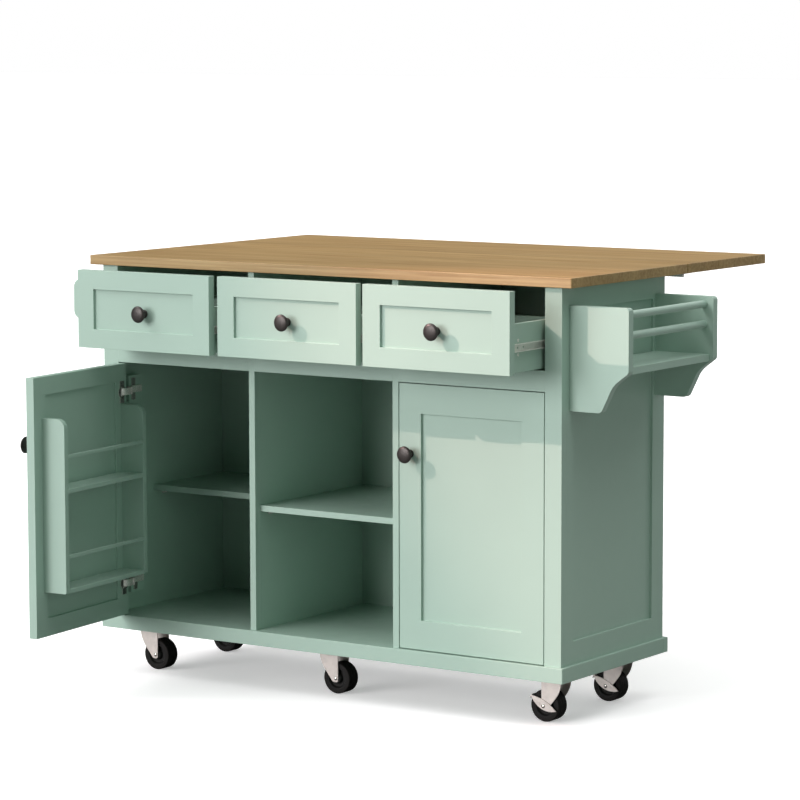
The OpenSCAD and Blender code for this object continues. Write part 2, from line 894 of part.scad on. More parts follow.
// Two sides, a lower back between them and a bottom let into grooves
module drawer_box(i) {
  x1 = box_w / 2;
  x0 = x1 - box_t;
  y1 = box_y0 + slide_len;
  groove = box_t / 2;
  bottom_z = box_z0 + bottom_up;
  color(mint) in_frame() at_drawer(i) {
    difference() {
      union() {
        both_sides() span([x0, box_y0, box_z0], [x1, y1, box_z0 + box_h]);
        span(
          [glue_line - x0, y1 - box_t, box_z0],
          [x0 - glue_line, y1, box_z0 + box_h - box_back_drop]);
      }
      span(
        [-x0 - groove, box_y0 - over, bottom_z],
        [x0 + groove, y1 - box_t + groove, bottom_z + box_bottom_t]);
    }
    span(
      [glue_line - x0 - groove, box_y0, bottom_z + glue_line],
      [x0 + groove - glue_line, y1 - box_t + groove - glue_line, bottom_z + box_bottom_t - glue_line]);
  }
}

// Turned knob: a foot flange, a slim waist that flares into the rim, and a
// flat dome on it, standing out along -Y
module knob() {
  rim_r = knob_d / 2;
  foot_r = 0.5 * rim_r;
  foot_h = 0.07 * knob_out;
  waist_r = 0.36 * rim_r;
  waist_z = 0.45 * knob_out;
  rim_z = 0.7 * knob_out;
  rim_h = 0.07 * knob_out;
  dome_z = rim_z + rim_h;
  waist = [
    for (a = [0:15:90])
      [waist_r + (foot_r - waist_r) * (1 - sin(a)), foot_h + (waist_z - foot_h) * (1 - cos(a))]
  ];
  flare = [
    for (a = [15:15:90])
      [waist_r + (rim_r - waist_r) * (1 - cos(a)), waist_z + (rim_z - waist_z) * sin(a)]
  ];
  dome = [
    for (a = [0:10:90])
      [rim_r * cos(a), dome_z + (knob_out - dome_z) * sin(a)]
  ];
  rotate([90, 0, 0]) rotate_extrude()
    polygon(concat([[0, 0], [foot_r, 0]], waist, flare, dome));
}

module drawer_knob(i) {
  color(pewter) in_frame() at_drawer(i)
    translate([0, field_sink, drawer_z0 + drawer_front_h / 2 - drawer_knob_drop]) knob();
}

module slide_inners(i) {
  color(steel) in_frame() slide_pair(i, slide_y0 - drawer_pull[i]) slide_inner();
}

// The cages run half as far as the drawer
module ball_cages(i) {
  y = slide_y0 + (slide_len - cage_len - drawer_pull[i]) / 2;
  color(steel) in_frame() slide_pair(i, y) ball_cage();
}

module drawer_front_1() drawer_front(0);
module drawer_front_2() drawer_front(1);
module drawer_front_3() drawer_front(2);
module drawer_box_1() drawer_box(0);
module drawer_box_2() drawer_box(1);
module drawer_box_3() drawer_box(2);
module drawer_knob_1() drawer_knob(0);
module drawer_knob_2() drawer_knob(1);
module drawer_knob_3() drawer_knob(2);
module slide_inner_1() slide_inners(0);
module slide_inner_2() slide_inners(1);
module slide_inner_3() slide_inners(2);
module ball_cage_1() ball_cages(0);
module ball_cage_2() ball_cages(1);
module ball_cage_3() ball_cages(2);

// ---- Doors ----

// A door is drawn closed, from its hinge axis at x = 0 towards +X, with its
// outer face at y = 0. The left one then stands open by door_open.
module at_left_door() {
  translate([-door_axis_x, 0, 0]) rotate([0, 0, -door_open]) children();
}

module at_right_door() {
  mirror([1, 0, 0]) translate([-door_axis_x, 0, 0]) children();
}

module door() {
  color(mint) difference() {
    translate([door_axis_in, 0, door_z0])
      framed_panel(door_w, door_h, door_t, door_stile_w, door_rail_w, field_sink);
    span(
      [door_axis_in + door_back_stile_w, door_t - door_back_sink, door_z0 + door_back_rail_w],
      [door_reach - door_back_stile_w, door_t + over, door_z0 + door_h - door_back_rail_w]);
    for (z = [hinge_top_z, hinge_low_z])
      translate([cup_s, door_t + over, z]) rotate([90, 0, 0])
        cylinder(h = cup_depth + running + over, r = cup_d / 2 + running);
  }
}

module door_knob() {
  color(pewter) translate([door_reach - door_stile_w / 2, 0, door_knob_z]) knob();
}

// Door half of the cup hinges: a hollow cup let into the door, its flange, a
// pin across the cup and the curved hook that runs under the cabinet's neck
module cup_hinges() {
  r = cup_d / 2;
  y = door_t + cup_plate_t;
  pin = (hook_r + hook_t - hook_pin_r) * [cos(hook_pin_a), sin(hook_pin_a)];
  pin_l = 2 * (r - cup_wall / 2);
  color(nickel) for (z = [hinge_top_z, hinge_low_z]) translate([0, 0, z]) {
    difference() {
      union() {
        translate([cup_s, y, 0]) rotate([90, 0, 0]) cylinder(h = cup_depth + cup_plate_t, r = r);
        translate([cup_s, y, 0]) rotate([90, 0, 0]) cylinder(h = cup_plate_t, r = r + cup_flange);
        span(
          [cup_s - cup_plate_w / 2, door_t, -cup_plate_h / 2],
          [cup_s + cup_plate_w / 2, y, cup_plate_h / 2]);
      }
      translate([cup_s, y + over, 0]) rotate([90, 0, 0])
        cylinder(h = cup_depth + cup_plate_t - cup_wall + over, r = r - cup_wall);
    }
    intersection() {
      translate([pin[0], pin[1], -pin_l / 2]) cylinder(h = pin_l, r = hook_pin_r);
      translate([cup_s, y, 0]) rotate([90, 0, 0]) cylinder(h = cup_depth, r = r - cup_wall / 2);
    }
    strap(hook_r, hook_t, hook_pin_a, hook_end_a, hinge_arm_h);
  }
}

module door_left() {
  in_frame() at_left_door() door();
}

module door_knob_left() {
  in_frame() at_left_door() door_knob();
}

module cup_hinges_left() {
  in_frame() at_left_door() cup_hinges();
}

module door_right() {
  in_frame() at_right_door() door();
}

module door_knob_right() {
  in_frame() at_right_door() door_knob();
}

module cup_hinges_right() {
  in_frame() at_right_door() cup_hinges();
}

// ---- Door rack ----

// Side boards with their top outer corner rounded
module door_rack_sides() {
  y1 = door_t + rack_d;
  outline = rounded(
    [[door_t, rack_z], [y1, rack_z], [y1, rack_z + rack_h], [door_t, rack_z + rack_h]],
    [0, rack_foot_r, rack_top_r, 0]);
  color(mint) in_frame() at_left_door()
    for (x = [rack_s0, rack_s0 + rack_w - rack_side_t])
      translate([x, 0, 0]) rotate([90, 0, 90]) linear_extrude(rack_side_t) polygon(outline);
}

// Two shelves and the guard rail in front of each
module door_rack_shelves() {
  x0 = rack_s0 + rack_side_t + glue_line;
  x1 = rack_s0 + rack_w - rack_side_t - glue_line;
  y1 = door_t + rack_d;
  color(mint) in_frame() at_left_door() for (z = [rack_z, rack_z + rack_upper]) {
    span([x0, door_t, z], [x1, y1, z + rack_shelf_t]);
    guard_z = z + rack_shelf_t + rack_guard_up;
    span([x0, y1 - rack_guard, guard_z], [x1, y1, guard_z + rack_guard]);
  }
}

// ---- Castors ----

// Swivel places and the way each castor trails along X
CASTORS = [
  [-castor_x, castor_front_in, 1],
  [castor_middle_x, castor_front_in, 1],
  [castor_x, castor_front_in, -1],
  [-castor_x, castor_back_y, 1],
  [castor_x, castor_back_y, -1]
];

module at_castor(i) {
  c = CASTORS[i];
  translate([c[0], c[1], 0]) mirror([c[2] < 0 ? 1 : 0, 0, 0]) children();
}

module at_axle(i) {
  at_castor(i) translate([trail, 0, wheel_r]) children();
}

// Top plate with its screws, upper ball race and king pin
module castor_plates() {
  shaft_z = bridge_z0 - free;
  bolt = plate_size / 2 - [bolt_inset, bolt_inset];
  color(fork_grey) in_frame() for (i = [0:len(CASTORS) - 1]) at_castor(i) {
    translate([-plate_size[0] / 2, -plate_size[1] / 2, base_z0 - plate_t])
      cube([plate_size[0], plate_size[1], plate_t]);
    translate([0, 0, race_z])
      cylinder(h = race_h, r1 = race_r - race_flare, r2 = race_r + race_flare);
    translate([0, 0, shaft_z]) cylinder(h = race_z - shaft_z, r = king_r);
    translate([0, 0, shaft_z - race_h]) cylinder(h = race_h, r = king_head_r);
    for (x = [-bolt[0], bolt[0]], y = [-bolt[1], bolt[1]])
      translate([x, y, base_z0 - 2 * plate_t]) cylinder(h = plate_t, r = bolt_r, $fn = 6);
  }
}

// Outline of a cheek: straight down to the axle on one side, swept on the other
function cheek_outline() =
  let (
    z = bridge_z1,
    low = wheel_r - cheek_low,
    toe = trail - cheek_toe,
    shoulder = [cheek_step - crown_front, z - cheek_shoulder]
  )
  rounded(
    [[-crown_front, z], [crown_rear, z], [crown_rear, low], [toe, low], shoulder],
    [crown_r, crown_r, heel_r, toe_r, sweep_r]);

// Pressed fork with its lower race, riveted axle and bored crown
module fork(i, braked) {
  lever_room = braked ? lever_t + 2 * free : 0;
  color(fork_grey) in_frame() {
    at_castor(i) {
      difference() {
        union() {
          span([-crown_front, -cheek_in, bridge_z0], [crown_rear, cheek_in, bridge_z1]);
          translate([0, 0, bridge_z1 - race_lap])
            cylinder(h = race_h + race_lap, r1 = race_r + race_flare, r2 = race_r - race_taper);
        }
        translate([0, 0, bridge_z0 - over])
          cylinder(h = sheet_t + race_h + 2 * over, r = king_r + running);
      }
      for (side = [0, 1]) mirror([0, side, 0]) board_xz(cheek_outline(), cheek_in, cheek_out);
    }
    at_axle(i) rotate([90, 0, 0]) {
      translate([0, 0, -cheek_out - rivet_h])
        cylinder(h = 2 * (cheek_out + rivet_h) + lever_room, r = axle_r);
      translate([0, 0, -cheek_out - rivet_h]) cylinder(h = rivet_h, r = rivet_r);
      translate([0, 0, cheek_out + lever_room]) cylinder(h = rivet_h, r = rivet_r);
    }
  }
}

// Solid of revolution round the axle; half gives radius and half width
module turned(half) {
  n = len(half);
  rotate([90, 0, 0]) rotate_extrude()
    polygon(concat(half, [for (k = [n - 1:-1:0]) [half[k][0], -half[k][1]]]));
}

// Moulded core with a dished web, and a tyre with rounded shoulders on it
module wheel(i) {
  side = wheel_w / 2;
  hub = cheek_in - free;
  tread = wheel_r - tyre_t;
  color(rubber) in_frame() at_axle(i) {
    turned([
      [axle_r + running, hub], [hub_r, hub], [hub_r + hub_flare, side - web_sink],
      [tread - rim_w, side - web_sink], [tread - rim_chamfer, side - rim_in], [tread, side - rim_in]
    ]);
    turned(concat(
      [[tread + glue_line, side]],
      [for (a = [0:15:90]) [wheel_r, side] - tyre_shoulder * [1 - sin(a), 1 - cos(a)]]
    ));
  }
}

// Radius of the arc over a half chord with the given rise
function arc_r(half, rise) = (half * half + rise * rise) / (2 * rise);

// Brake lever: a plate on the axle between two arcs, with a pedal over the tyre
module brake(i) {
  chord = lever_tip - lever_toe;
  middle = (lever_tip + lever_toe) / 2;
  down = unit([chord[1], -chord[0]]);
  half = norm(chord) / 2;
  belly_r = arc_r(half, lever_belly);
  crest_r = arc_r(half, lever_crest);
  color(fork_grey) in_frame() at_axle(i) rotate([90, 0, 0]) {
    translate([0, 0, lever_y]) linear_extrude(lever_t) difference() {
      intersection() {
        translate(middle - down * (belly_r - lever_belly)) circle(r = belly_r, $fn = 180);
        translate(middle + down * (crest_r - lever_crest)) circle(r = crest_r, $fn = 360);
      }
      circle(r = axle_r + running);
    }
    translate([lever_rivet[0], lever_rivet[1], lever_y + lever_t])
      cylinder(h = lever_rivet_h, r = lever_rivet_r);
    rotate([0, 0, lever_tip_a])
      translate([lever_tip_r - lever_t, -pedal_low, lever_y + lever_t - pedal_w])
        cube([lever_t, pedal_l, pedal_w]);
  }
}

module fork_front_left() fork(0, false);
module fork_front_middle() fork(1, false);
module fork_front_right() fork(2, true);
module fork_back_left() fork(3, false);
module fork_back_right() fork(4, true);
module wheel_front_left() wheel(0);
module wheel_front_middle() wheel(1);
module wheel_front_right() wheel(2);
module wheel_back_left() wheel(3);
module wheel_back_right() wheel(4);
module brake_front_right() brake(2);
module brake_back_right() brake(4);

worktop();
side_panels();
face_frame();
dividers();
base_boards();
plinth();
back_panel();
shelves();
shelf_supports();
packers();
hinge_plates();
slide_outers();
hinge_leaves_fixed();
towel_brackets();
towel_bar();
bottle_brackets();
bottle_rods();
bottle_shelf();
castor_plates();
leaf();
leaf_hinges();
wing_left();
wing_right();
wing_hinges_left();
wing_hinges_right();
drawer_front_1();
drawer_front_2();
drawer_front_3();
drawer_box_1();
drawer_box_2();
drawer_box_3();
drawer_knob_1();
drawer_knob_2();
drawer_knob_3();
slide_inner_1();
slide_inner_2();
slide_inner_3();
ball_cage_1();
ball_cage_2();
ball_cage_3();
door_left();
door_knob_left();
cup_hinges_left();
door_rack_sides();
door_rack_shelves();
door_right();
door_knob_right();
cup_hinges_right();
fork_front_left();
fork_front_middle();
fork_front_right();
fork_back_left();
fork_back_right();
wheel_front_left();
wheel_front_middle();
wheel_front_right();
wheel_back_left();
wheel_back_right();
brake_front_right();
brake_back_right();
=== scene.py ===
import json
import math

import bmesh
import bpy
import numpy as np
from mathutils import Matrix, Vector

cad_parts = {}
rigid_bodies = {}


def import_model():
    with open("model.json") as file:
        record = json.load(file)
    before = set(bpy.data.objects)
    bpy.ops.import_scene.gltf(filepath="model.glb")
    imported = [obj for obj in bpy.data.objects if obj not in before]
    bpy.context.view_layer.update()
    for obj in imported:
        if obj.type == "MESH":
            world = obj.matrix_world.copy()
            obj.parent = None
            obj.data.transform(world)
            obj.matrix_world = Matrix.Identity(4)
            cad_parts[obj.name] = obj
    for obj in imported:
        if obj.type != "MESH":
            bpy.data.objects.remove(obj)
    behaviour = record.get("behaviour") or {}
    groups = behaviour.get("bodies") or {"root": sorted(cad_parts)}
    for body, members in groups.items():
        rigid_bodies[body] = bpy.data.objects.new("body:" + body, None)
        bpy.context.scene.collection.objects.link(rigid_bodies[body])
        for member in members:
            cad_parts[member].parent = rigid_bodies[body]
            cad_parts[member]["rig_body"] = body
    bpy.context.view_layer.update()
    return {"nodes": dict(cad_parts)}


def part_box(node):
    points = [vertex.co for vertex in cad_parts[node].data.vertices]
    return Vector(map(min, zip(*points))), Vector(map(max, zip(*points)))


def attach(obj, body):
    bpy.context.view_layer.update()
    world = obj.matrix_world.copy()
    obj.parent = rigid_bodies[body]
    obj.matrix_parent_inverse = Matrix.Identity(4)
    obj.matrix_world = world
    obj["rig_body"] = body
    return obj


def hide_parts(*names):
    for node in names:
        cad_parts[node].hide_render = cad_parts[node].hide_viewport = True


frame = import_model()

# ---- Base panel and plinth ----
# A fibreboard base with two rails that take the castors, inside a band of
# four mitred plinth boards. Everything painted is sprayed with a satin mint
# lacquer after its edges are eased with sandpaper.

MM = 0.001
MINT = (0.345, 0.480, 0.405, 1)
# The lighter mint below goes on the rounded edges: a painted highlight where they catch the light.
MINT_HIGHLIGHT = (0.375, 0.510, 0.435, 1)
PEEL_PITCH = 1.6 * MM
PAINT_RELIEF = 0.02 * MM
BOARD_EASE = 0.5 * MM
PLINTH_EASE = 0.8 * MM
SAME_POINT = 0.005 * MM
FLAT_WITHIN = math.radians(0.5)
EDGE_FROM = math.radians(40)


def shader_node(tree, kind, inputs=(), **settings):
    """Adds one node; inputs fill its sockets with values or with other nodes' outputs."""
    made = tree.nodes.new("ShaderNode" + kind)
    for name, value in settings.items():
        setattr(made, name, value)
    for key, value in dict(inputs).items():
        if isinstance(value, bpy.types.NodeSocket):
            tree.links.new(value, made.inputs[key])
        else:
            made.inputs[key].default_value = value
    return made


def effect(name, inputs, outputs):
    """Opens a shader node group; gives its tree, its inputs and the sockets of its output."""
    tree = bpy.data.node_groups.new(name, "ShaderNodeTree")
    for label, (kind, value) in inputs.items():
        socket = tree.interface.new_socket(label, in_out="INPUT", socket_type="NodeSocket" + kind)
        socket.default_value = value
    for label, kind in outputs.items():
        tree.interface.new_socket(label, in_out="OUTPUT", socket_type="NodeSocket" + kind)
    return tree, tree.nodes.new("NodeGroupInput").outputs, tree.nodes.new("NodeGroupOutput").inputs


def noise(tree, where, pitch, detail=2, squeeze=(1, 1, 1)):
    """Noise with bumps about pitch apart, drawn out along an axis where squeeze is small."""
    stretched = shader_node(tree, "Mapping", {"Vector": where, "Scale": squeeze})
    return shader_node(tree, "TexNoise", {
        "Vector": stretched.outputs[0], "Scale": 1 / pitch, "Detail": detail}).outputs["Fac"]


def spread(tree, value, low, high, to_low, to_high):
    """Maps value from low..high to to_low..to_high, held at both ends."""
    return shader_node(tree, "MapRange", {
        "Value": value, "From Min": low, "From Max": high,
        "To Min": to_low, "To Max": to_high}).outputs[0]


def reckon(tree, operation, first, second):
    """One sum or product of two values."""
    return shader_node(tree, "Math", {0: first, 1: second}, operation=operation).outputs[0]


def blend_colour(tree, share, first, second):
    """Mixes two colours by share."""
    mixed = shader_node(tree, "Mix", data_type="RGBA")
    for key, value in ((0, share), (6, first), (7, second)):
        if isinstance(value, bpy.types.NodeSocket):
            tree.links.new(value, mixed.inputs[key])
        else:
            mixed.inputs[key].default_value = value
    return mixed.outputs[2]


def lacquer_effect():
    """Sprayed lacquer: a slow drift of tone, faint clouds in the sheen and a fine orange peel."""
    tree, given, out = effect(
        "sprayed_lacquer", {"Colour": ("Color", MINT)},
        {"Colour": "Color", "Roughness": "Float", "Height": "Float"})
    where = shader_node(tree, "TexCoord").outputs["Object"]
    drift = spread(tree, noise(tree, where, 0.35, 3), 0.3, 0.7, 0.97, 1.03)
    toned = shader_node(tree, "HueSaturation", {"Value": drift, "Color": given["Colour"]}).outputs[0]
    tree.links.new(toned, out["Colour"])
    tree.links.new(spread(tree, noise(tree, where, 30 * MM, 3), 0.3, 0.7, 0.38, 0.48), out["Roughness"])
    tree.links.new(noise(tree, where, PEEL_PITCH, 2), out["Height"])
    return tree


def finish(name, group, values, relief, constants=()):
    """Material whose shader takes colour, roughness and height from an effect group.

    relief is the height of its bumps in metres; constants are set on the
    shader's own sockets.
    """
    material = bpy.data.materials.new(name)
    material.use_nodes = True
    tree = material.node_tree
    shader = tree.nodes["Principled BSDF"]
    for label, value in dict(constants).items():
        shader.inputs[label].default_value = value
    dressed = tree.nodes.new("ShaderNodeGroup")
    dressed.node_tree = group
    for label, value in values.items():
        dressed.inputs[label].default_value = value
    tree.links.new(dressed.outputs["Colour"], shader.inputs["Base Color"])
    tree.links.new(dressed.outputs["Roughness"], shader.inputs["Roughness"])
    bump = shader_node(tree, "Bump", {
        "Height": dressed.outputs["Height"], "Strength": 1, "Distance": relief})
    tree.links.new(bump.outputs[0], shader.inputs["Normal"])
    material.diffuse_color = values["Colour"]
    return material


lacquer = lacquer_effect()
mint_paint = finish("mint_paint", lacquer, {"Colour": MINT}, PAINT_RELIEF)
mint_edge_highlight = finish("mint_edge_highlight", lacquer, {"Colour": MINT_HIGHLIGHT}, PAINT_RELIEF)


def plain_surface(node):
    """A CAD node's points and faces, its doubled points merged and its flat faces joined."""
    shell = bmesh.new()
    shell.from_mesh(frame["nodes"][node].data)
    bmesh.ops.remove_doubles(shell, verts=shell.verts, dist=SAME_POINT)
    bmesh.ops.dissolve_limit(shell, angle_limit=FLAT_WITHIN, verts=shell.verts, edges=shell.edges)
    points = np.array([vert.co for vert in shell.verts])
    faces = [[vert.index for vert in face.verts] for face in shell.faces]
    shell.free()
    return points, faces


def add_piece(name, surface, materials, body, sharp=35):
    """Puts a surface, given as points and faces, on a body; edges over sharp degrees stay hard."""
    points, faces = surface
    mesh = bpy.data.meshes.new(name)
    mesh.from_pydata(np.asarray(points).tolist(), [], faces)
    for material in materials:
        mesh.materials.append(material)
    mesh.shade_smooth()
    if sharp:
        mesh.set_sharp_from_angle(angle=math.radians(sharp))
    piece = bpy.data.objects.new(name, mesh)
    bpy.context.scene.collection.objects.link(piece)
    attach(piece, body)
    return piece


def eased(node, ease, face, edge, surface=None, steps=2):
    """Stands in for a CAD node: the same surface with its sharp edges rounded by ease.

    The rounded strips take the edge material.
    """
    body = frame["nodes"][node]["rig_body"]
    piece = add_piece(node + "_shown", surface or plain_surface(node), [face, edge], body, None)
    rounding = piece.modifiers.new("eased_edges", "BEVEL")
    rounding.width = ease
    rounding.segments = steps
    rounding.limit_method = "ANGLE"
    rounding.angle_limit = EDGE_FROM
    rounding.harden_normals = True
    rounding.material = 1
    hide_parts(node)
    return piece


def painted(node, ease=BOARD_EASE):
    """A painted board or set of boards; its rounded edges take the lighter mint, a painted highlight."""
    return eased(node, ease, mint_paint, mint_edge_highlight)


painted("base_boards")
painted("plinth", PLINTH_EASE)

# ---- Side panels, dividers and back ----
# Side panels are frames with a sunk field, dividers and back plain boards.
# They stand on the base, glued and screwed to it.

for node in ("side_panels", "dividers", "back_panel"):
    painted(node)

# ---- Face frame and packers ----
# Stiles and rails of solid wood, butted with a hairline joint and painted
# over; battens behind them bring slides and hinges flush.

JOINT_EASE = 0.2 * MM

painted("face_frame", JOINT_EASE)
painted("packers")

# ---- Shelves and their supports ----
# Loose painted boards on small nickel-plated quarter rounds, each held by
# one screw.

STEEL = (0.55, 0.55, 0.54, 1)
METAL_RELIEF = 0.01 * MM
SUPPORT_EASE = 0.4 * MM


def metal_effect():
    """Plated metal: a cloud of tone and fine rubbing marks along X."""
    tree, given, out = effect(
        "plated_sheet", {"Colour": ("Color", STEEL), "Rough": ("Float", 0.35)},
        {"Colour": "Color", "Roughness": "Float", "Height": "Float"})
    where = shader_node(tree, "TexCoord").outputs["Object"]
    cloud = noise(tree, where, 12 * MM, 3)
    toned = shader_node(tree, "HueSaturation", {
        "Value": spread(tree, cloud, 0.3, 0.7, 0.92, 1.06), "Color": given["Colour"]}).outputs[0]
    tree.links.new(toned, out["Colour"])
    marks = noise(tree, where, 0.6 * MM, 2, (0.05, 1, 1))
    rough = reckon(tree, "ADD", given["Rough"], spread(tree, marks, 0.3, 0.7, -0.06, 0.08))
    tree.links.new(rough, out["Roughness"])
    tree.links.new(marks, out["Height"])
    return tree


plated = metal_effect()


def tinted(name, colour, rough, constants, relief=METAL_RELIEF):
    """A metal or moulded finish: the plated effect in one colour, with the shader's constants."""
    return finish(name, plated, {"Colour": (*colour, 1), "Rough": rough}, relief, constants)


nickel = tinted("nickel", (0.76, 0.74, 0.70), 0.28, {"Metallic": 0.6})

painted("shelves")
eased("shelf_supports", SUPPORT_EASE, nickel, nickel)

# ---- Worktop and drop leaf ----
# Two boards of straight-grained oak, edge-glued from strips and oiled, their
# edges just broken with sandpaper.

OAK = (0.430, 0.292, 0.125, 1)
OAK_DARK = (0.262, 0.150, 0.048, 1)
STAVE_W = 62 * MM
PORE_TONE = 0.3
OAK_RELIEF = 0.05 * MM
TOP_EASE = 1.1 * MM


def oak_effect():
    """Oiled oak with its grain along X.

    Strips of slightly different tone across Y, fine streaks and broad waves
    drawn out along X, and short dark pores that also dent the surface.
    """
    tree, given, out = effect(
        "oiled_oak", {"Colour": ("Color", OAK), "Dark": ("Color", OAK_DARK)},
        {"Colour": "Color", "Roughness": "Float", "Height": "Float"})
    where = shader_node(tree, "TexCoord").outputs["Object"]
    across = shader_node(tree, "SeparateXYZ", {0: where}).outputs[1]
    stave = shader_node(tree, "Math", {0: reckon(tree, "DIVIDE", across, STAVE_W)}, operation="FLOOR")
    chance = shader_node(tree, "TexWhiteNoise", {"W": stave.outputs[0]}, noise_dimensions="1D")
    moved = shader_node(
        tree, "VectorMath", {0: where, 1: chance.outputs["Color"]}, operation="ADD").outputs[0]
    streaks = noise(tree, moved, 6 * MM, 6, (0.022, 1, 1))
    waves = noise(tree, moved, 40 * MM, 3, (0.10, 1, 1))
    pores = spread(tree, noise(tree, moved, 0.9 * MM, 2, (0.025, 1, 1)), 0.55, 0.70, 0, 1)
    tone = spread(tree, streaks, 0.32, 0.68, 0.0, 0.8)
    swing = spread(tree, waves, 0.35, 0.65, -0.22, 0.22)
    banded = shader_node(tree, "Math", {0: tone, 1: swing}, operation="ADD", use_clamp=True).outputs[0]
    base = blend_colour(tree, banded, given["Colour"], given["Dark"])
    staved = shader_node(tree, "HueSaturation", {
        "Value": spread(tree, chance.outputs["Value"], 0, 1, 0.94, 1.06), "Color": base}).outputs[0]
    pored = blend_colour(tree, reckon(tree, "MULTIPLY", pores, PORE_TONE), staved, given["Dark"])
    tree.links.new(pored, out["Colour"])
    tree.links.new(spread(tree, streaks, 0.3, 0.7, 0.40, 0.52), out["Roughness"])
    tree.links.new(spread(tree, pores, 0, 1, 1, 0), out["Height"])
    return tree


oak = oak_effect()
oiled_oak = finish("oiled_oak", oak, {"Colour": OAK}, OAK_RELIEF)

for node in ("worktop", "leaf"):
    eased(node, TOP_EASE, oiled_oak, oiled_oak, steps=3)

# ---- Butt hinges of the leaf and of the wings ----
# Rolled steel hinges, nickel plated: two leaves rolled round one pin, screwed
# flat to the boards.

HINGE_EASE = 0.3 * MM

for node in ("leaf_hinges", "hinge_leaves_fixed", "wing_hinges_left", "wing_hinges_right"):
    eased(node, HINGE_EASE, nickel, nickel)

# ---- Swing-out wings ----
# Two painted knee braces that fold against the back and swing out under
# the leaf.

WING_EASE = 1.5 * MM

for node in ("wing_left", "wing_right"):
    painted(node, WING_EASE)

# ---- Drawer slides ----
# Rolled zinc-plated steel: an outer member on the bay's wall, an inner one
# on the drawer's side, and a cage of balls between them.

SLIDE_EASE = 0.25 * MM

zinc = tinted("zinc", (0.74, 0.73, 0.69), 0.38, {"Metallic": 0.45})

for node in ("slide_outers", "slide_inner_1", "slide_inner_2", "slide_inner_3"):
    eased(node, SLIDE_EASE, zinc, zinc, steps=1)
for number in (1, 2, 3):
    cage = frame["nodes"]["ball_cage_%d" % number].data
    cage.materials.clear()
    cage.materials.append(zinc)

# ---- Drawers ----
# A framed front with a sunk field, screwed to a box of four boards and a
# bottom in grooves. Two screws show on each side, above and below the slide.

JOINT_SCREW_IN = 28 * MM
JOINT_SCREW_UP = 14.5 * MM
JOINT_SCREW_R = 3.5 * MM
JOINT_SCREW_RISE = 0.9 * MM
SCREW_RINGS = 8
SCREW_STEPS = 32
RECESS_SHARE = 1.6
BAR_HALF_W = 0.14
BAR_HALF_L = 0.62

screw_zinc = tinted("screw_zinc", (0.86, 0.84, 0.79), 0.30, {"Metallic": 0.25})


def grid_faces(rows, columns, ring=False):
    """Quads of a tube of points, row after row; a ring joins its last row to its first."""
    row = np.arange(rows if ring else rows - 1)[:, None]
    column = np.arange(columns)[None, :]
    after = (column + 1) % columns
    above = (row + 1) % rows
    quads = [
        row * columns + column, row * columns + after, above * columns + after, above * columns + column]
    return np.stack(quads, axis=-1).reshape(-1, 4).tolist()


def across_and_around(axis):
    """Two unit vectors square to the axis, so that across, around and axis are right-handed."""
    axis = np.array(axis, float)
    across = np.cross(axis, (0.0, 0.0, 1.0)) if abs(axis[2]) < 0.9 else np.array((1.0, 0.0, 0.0))
    across /= np.linalg.norm(across)
    return across, np.cross(axis, across)


def capped(rows, columns, points):
    """Points of a tube with faces between its rows and a flat face on each end."""
    last = (rows - 1) * columns
    ends = [list(range(columns))[::-1], list(range(last, last + columns))]
    return points.reshape(-1, 3), grid_faces(rows, columns) + ends


def joined(surfaces):
    """One surface from several, each with its own points."""
    start = np.cumsum([0] + [len(points) for points, faces in surfaces])
    faces = [
        [corner + int(first) for corner in face]
        for first, (points, own) in zip(start, surfaces) for face in own]
    return np.concatenate([points for points, own in surfaces]), faces


def screw_head(centre, axis, radius, rise):
    """Low dome on a polar grid, with a cross recess cut into its height.

    Height = rise * (1 - (r / radius)^2), and less by the recess where the
    place lies on either bar of the cross.
    """
    across, around = across_and_around(axis)
    turn = np.linspace(0, 2 * math.pi, SCREW_STEPS, endpoint=False)[None, :]
    reach = radius * np.linspace(1, 0.03, SCREW_RINGS)[:, None]
    x = reach * np.cos(turn)
    y = reach * np.sin(turn)
    near, far = BAR_HALF_W * radius, BAR_HALF_L * radius
    bars = ((abs(x) < near) & (abs(y) < far)) | ((abs(y) < near) & (abs(x) < far))
    height = rise * (1 - (reach / radius) ** 2) - np.where(bars, RECESS_SHARE * rise, 0)
    height[0] = -0.2 * rise
    points = (np.array(centre) + x[..., None] * across + y[..., None] * around
              + height[..., None] * np.array(axis, float))
    return capped(SCREW_RINGS, SCREW_STEPS, points)


def drawer_screws(number):
    """Screw heads on the box's sides, above and below the slide, near the front."""
    low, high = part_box("drawer_box_%d" % number)
    slide_low, slide_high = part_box("slide_inner_%d" % number)
    slide_z = (slide_low.z + slide_high.z) / 2
    heads = [
        screw_head(
            (x, low.y + JOINT_SCREW_IN, slide_z + up), (way, 0, 0), JOINT_SCREW_R, JOINT_SCREW_RISE)
        for x, way in ((low.x, -1), (high.x, 1)) for up in (-JOINT_SCREW_UP, JOINT_SCREW_UP)]
    return joined(heads)


for number in (1, 2, 3):
    painted("drawer_box_%d" % number)
    painted("drawer_front_%d" % number)
    add_piece(
        "drawer_screws_%d" % number, drawer_screws(number), [screw_zinc],
        "drawer_%d" % number)

# ---- Doors ----
# Frames with a sunk field on both faces; the left one stands open and
# carries the rack.

for node in ("door_left", "door_right"):
    painted(node)

# ---- Knobs ----
# Turned from metal with a dark pewter finish: a foot flange, a slim waist,
# a rim and a flat dome.

pewter = tinted("pewter", (0.046, 0.041, 0.038), 0.36, {"Metallic": 0.6}, relief=0.02 * MM)


